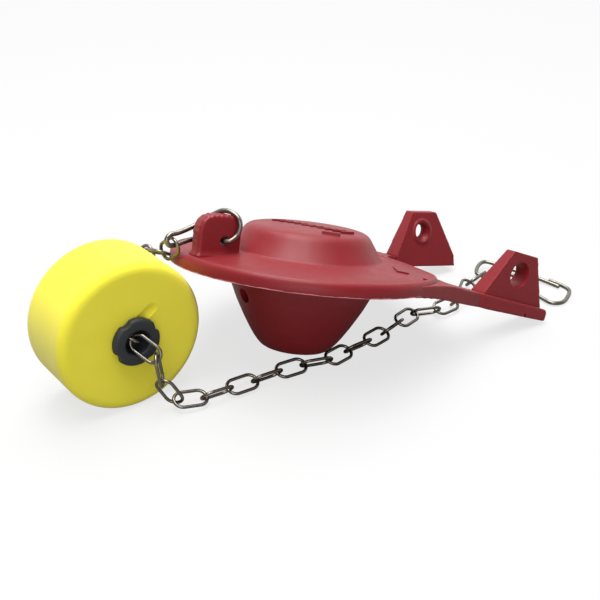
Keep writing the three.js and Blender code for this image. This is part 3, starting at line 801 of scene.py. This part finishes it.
def set_roughness(tree, shader, share, low, high):
    """Roughness from low to high over the noise's middle range."""
    span = {"Value": share, "From Min": 0.3, "From Max": 0.7, "To Min": low, "To Max": high}
    dull = add_node(tree, "ShaderNodeMapRange", None, span)
    tree.links.new(dull.outputs["Result"], shader.inputs["Roughness"])


def set_relief(tree, shader, height, strength, depth_mm):
    relief = add_node(tree, "ShaderNodeBump", None,
                      {"Strength": strength, "Distance": depth_mm * MM, "Height": height})
    tree.links.new(relief.outputs["Normal"], shader.inputs["Normal"])


def moulded_rubber_red():
    """Red cistern rubber, compression moulded: satin skin, faint flow clouds, fine grain, pale fin."""
    finish, tree, shader, where = new_finish("moulded_rubber_red")
    colour = two_tone(tree, noise(tree, where, 14, 3.0), srgb("#7a141c"), srgb("#8a1a22"))
    fin = add_node(tree, "ShaderNodeAttribute", {"attribute_name": "fin"})
    pale = add_node(tree, "ShaderNodeMath", {"operation": "MULTIPLY"}, {0: fin.outputs["Fac"], 1: 0.7})
    edged = two_tone(tree, pale.outputs[0], colour, srgb("#c8787c"))
    tree.links.new(edged, shader.inputs["Base Color"])
    set_roughness(tree, shader, noise(tree, where, 5, 4.0, 0.6), 0.38, 0.5)
    set_relief(tree, shader, noise(tree, where, 0.6, 3.0, 0.6), 0.12, 0.06)
    shader.inputs["IOR"].default_value = 1.52
    shader.inputs["Specular IOR Level"].default_value = 0.33
    shader.inputs["Sheen Weight"].default_value = 0.06
    shader.inputs["Sheen Roughness"].default_value = 0.45
    return finish


def closed_cell_foam_yellow():
    """Moulded closed-cell foam: matt skin with fine pores and soft unevenness."""
    finish, tree, shader, where = new_finish("closed_cell_foam_yellow")
    colour = two_tone(tree, noise(tree, where, 9, 3.0, 0.55), srgb("#f4e52c"), srgb("#fbf040"))
    tree.links.new(colour, shader.inputs["Base Color"])
    pores = add_node(tree, "ShaderNodeTexVoronoi", None, {"Vector": where, "Scale": per(0.7)})
    both = add_node(tree, "ShaderNodeMath", {"operation": "MULTIPLY_ADD"},
                    {0: pores.outputs["Distance"], 1: 0.5, 2: noise(tree, where, 3.0, 2.0)})
    set_relief(tree, shader, both.outputs[0], 0.25, 0.12)
    shader.inputs["Roughness"].default_value = 0.78
    shader.inputs["IOR"].default_value = 1.45
    shader.inputs["Sheen Weight"].default_value = 0.35
    shader.inputs["Sheen Roughness"].default_value = 0.5
    return finish


def moulded_plastic_black():
    """Black moulded plastic plug: satin, with a fine spark-eroded grain."""
    finish, tree, shader, where = new_finish("moulded_plastic_black")
    colour = two_tone(tree, noise(tree, where, 4, 3.0), srgb("#202428"), srgb("#2b2f33"))
    tree.links.new(colour, shader.inputs["Base Color"])
    set_relief(tree, shader, noise(tree, where, 0.35, 2.0), 0.15, 0.05)
    shader.inputs["Roughness"].default_value = 0.55
    return finish


def drawn_steel_wire():
    """Drawn steel wire: bright, with darker tarnish and fine draw marks."""
    finish, tree, shader, where = new_finish("drawn_steel_wire")
    tarnish = noise(tree, where, 3.5, 4.0, 0.6)
    colour = two_tone(tree, tarnish, srgb("#5f5b54"), srgb("#a09c93"))
    tree.links.new(colour, shader.inputs["Base Color"])
    set_roughness(tree, shader, tarnish, 0.34, 0.22)
    set_relief(tree, shader, noise(tree, where, 0.4, 3.0), 0.1, 0.03)
    shader.inputs["Metallic"].default_value = 1.0
    return finish


# Floor, world and lamps

def seen_by_camera_or_mirrored(tree, path, mirrored_share):
    """1 for what the camera sees straight, a share for what shines back from the part, 0 for the rest."""
    mirrored = add_node(tree, "ShaderNodeMath", {"operation": "MULTIPLY"},
                        {0: path["Is Glossy Ray"], 1: mirrored_share})
    seen = add_node(tree, "ShaderNodeMath", {"operation": "MAXIMUM"},
                    {0: path["Is Camera Ray"], 1: mirrored.outputs[0]})
    return seen.outputs[0]


def paper_sweep():
    """White paper that keeps the shadow near the part, and throws little light back onto it. In the part's
    reflections its white glow fades out towards the part: a painted shadow.
    """
    finish = bpy.data.materials.new("pale_paper_sweep")
    finish.use_nodes = True
    tree = finish.node_tree
    tree.nodes.clear()
    path = add_node(tree, "ShaderNodeLightPath").outputs
    tone = add_node(tree, "ShaderNodeMapRange", None,
                    {"Value": path["Is Camera Ray"], "To Min": 0.3, "To Max": 0.62}).outputs[0]
    grey = add_node(tree, "ShaderNodeCombineColor", None, {0: tone, 1: tone, 2: tone})
    paper = add_node(tree, "ShaderNodeBsdfDiffuse", None, {"Color": grey.outputs[0]})
    glow = add_node(tree, "ShaderNodeEmission", None, {"Color": (1, 1, 1, 1), "Strength": 1.0})
    place = add_node(tree, "ShaderNodeNewGeometry").outputs["Position"]
    away = add_node(tree, "ShaderNodeVectorMath", {"operation": "LENGTH"}, {0: place}).outputs["Value"]
    # Painted shade: the share of white glow that the part mirrors grows with distance, so the floor reflects
    # dark near the part as a painted shadow.
    far = add_node(tree, "ShaderNodeMapRange", None, {"Value": away, "From Min": 0.08, "From Max": 0.45})
    white = add_node(tree, "ShaderNodeMapRange", None,
                     {"Value": away, "From Min": 0.2, "From Max": 0.9, "To Min": 0.72})
    seen = seen_by_camera_or_mirrored(tree, path, far.outputs[0])
    share = add_node(tree, "ShaderNodeMath", {"operation": "MULTIPLY"}, {0: seen, 1: white.outputs[0]})
    mixed = add_node(tree, "ShaderNodeMixShader", None,
                     {0: share.outputs[0], 1: paper.outputs[0], 2: glow.outputs[0]})
    add_node(tree, "ShaderNodeOutputMaterial", None, {"Surface": mixed.outputs[0]})
    return finish


def pale_floor():
    reach, below = 3.0, 0.00005
    mesh = bpy.data.meshes.new("floor")
    corners = [(-reach, -reach, 0), (reach, -reach, 0), (reach, reach, 0), (-reach, reach, 0)]
    mesh.from_pydata(corners, [], [(0, 1, 2, 3)])
    mesh.materials.append(paper_sweep())
    floor = bpy.data.objects.new("floor", mesh)
    floor.location.z = -below
    bpy.context.scene.collection.objects.link(floor)


def white_room():
    """A dim room whose far side shines white in the part, and which the camera sees as plain white."""
    world = bpy.data.worlds.new("white_room")
    world.use_nodes = True
    tree = world.node_tree
    tree.nodes.clear()
    room = add_node(tree, "ShaderNodeBackground", None, {"Color": (1, 1, 1, 1), "Strength": 0.25})
    backdrop = add_node(tree, "ShaderNodeBackground", None, {"Color": (1, 1, 1, 1), "Strength": 1.0})
    path = add_node(tree, "ShaderNodeLightPath").outputs
    way = add_node(tree, "ShaderNodeTexCoord").outputs["Generated"]
    behind = add_node(tree, "ShaderNodeVectorMath", {"operation": "DOT_PRODUCT"},
                      {0: way, 1: (0.5, 0.82, 0.28)})
    bright = add_node(tree, "ShaderNodeMapRange", None,
                      {"Value": behind.outputs["Value"], "From Min": -0.3, "From Max": 0.6})
    seen = seen_by_camera_or_mirrored(tree, path, bright.outputs[0])
    mixed = add_node(tree, "ShaderNodeMixShader", None, {0: seen, 1: room.outputs[0], 2: backdrop.outputs[0]})
    add_node(tree, "ShaderNodeOutputWorld", None, {"Surface": mixed.outputs[0]})
    bpy.context.scene.world = world


def soft_lamp(name, place, size, power):
    """A square lamp, in metres and watts, that faces the part."""
    data = bpy.data.lights.new(name, "AREA")
    data.size = size
    data.energy = power
    lamp = bpy.data.objects.new(name, data)
    lamp.location = place
    lamp.rotation_euler = (-Vector(place)).to_track_quat("-Z", "Y").to_euler()
    bpy.context.scene.collection.objects.link(lamp)


# Putting the part together

rubber = moulded_rubber_red()
foam = closed_cell_foam_yellow()
plug_finish = moulded_plastic_black()
wire = drawn_steel_wire()


def dress(piece, finish, slot, *nodes):
    piece.data.materials.clear()
    piece.data.materials.append(finish)
    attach(piece, ROOT)
    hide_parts(*nodes)


dress(flapper(), rubber, "red_rubber", "flapper")
dress(tab_ring(), wire, "steel_wire", "tab_ring")
dress(lever_clip(), wire, "steel_wire", "lever_clip")
links, link_nodes = chain(wire)
dress(links, wire, "steel_wire", *link_nodes)
float_piece = foam_float()
dress(float_piece, foam, "yellow_foam", "float")
dress(float_plug(), plug_finish, "black_plug", "float_plug")
pale_floor()
white_room()
soft_lamp("key", (-0.15, -0.12, 0.9), 0.6, 7.4)
soft_lamp("fill", (-0.4, -0.7, 0.3), 0.5, 1.7)
soft_lamp("top", (0.15, 0.3, 0.85), 0.6, 6.0)
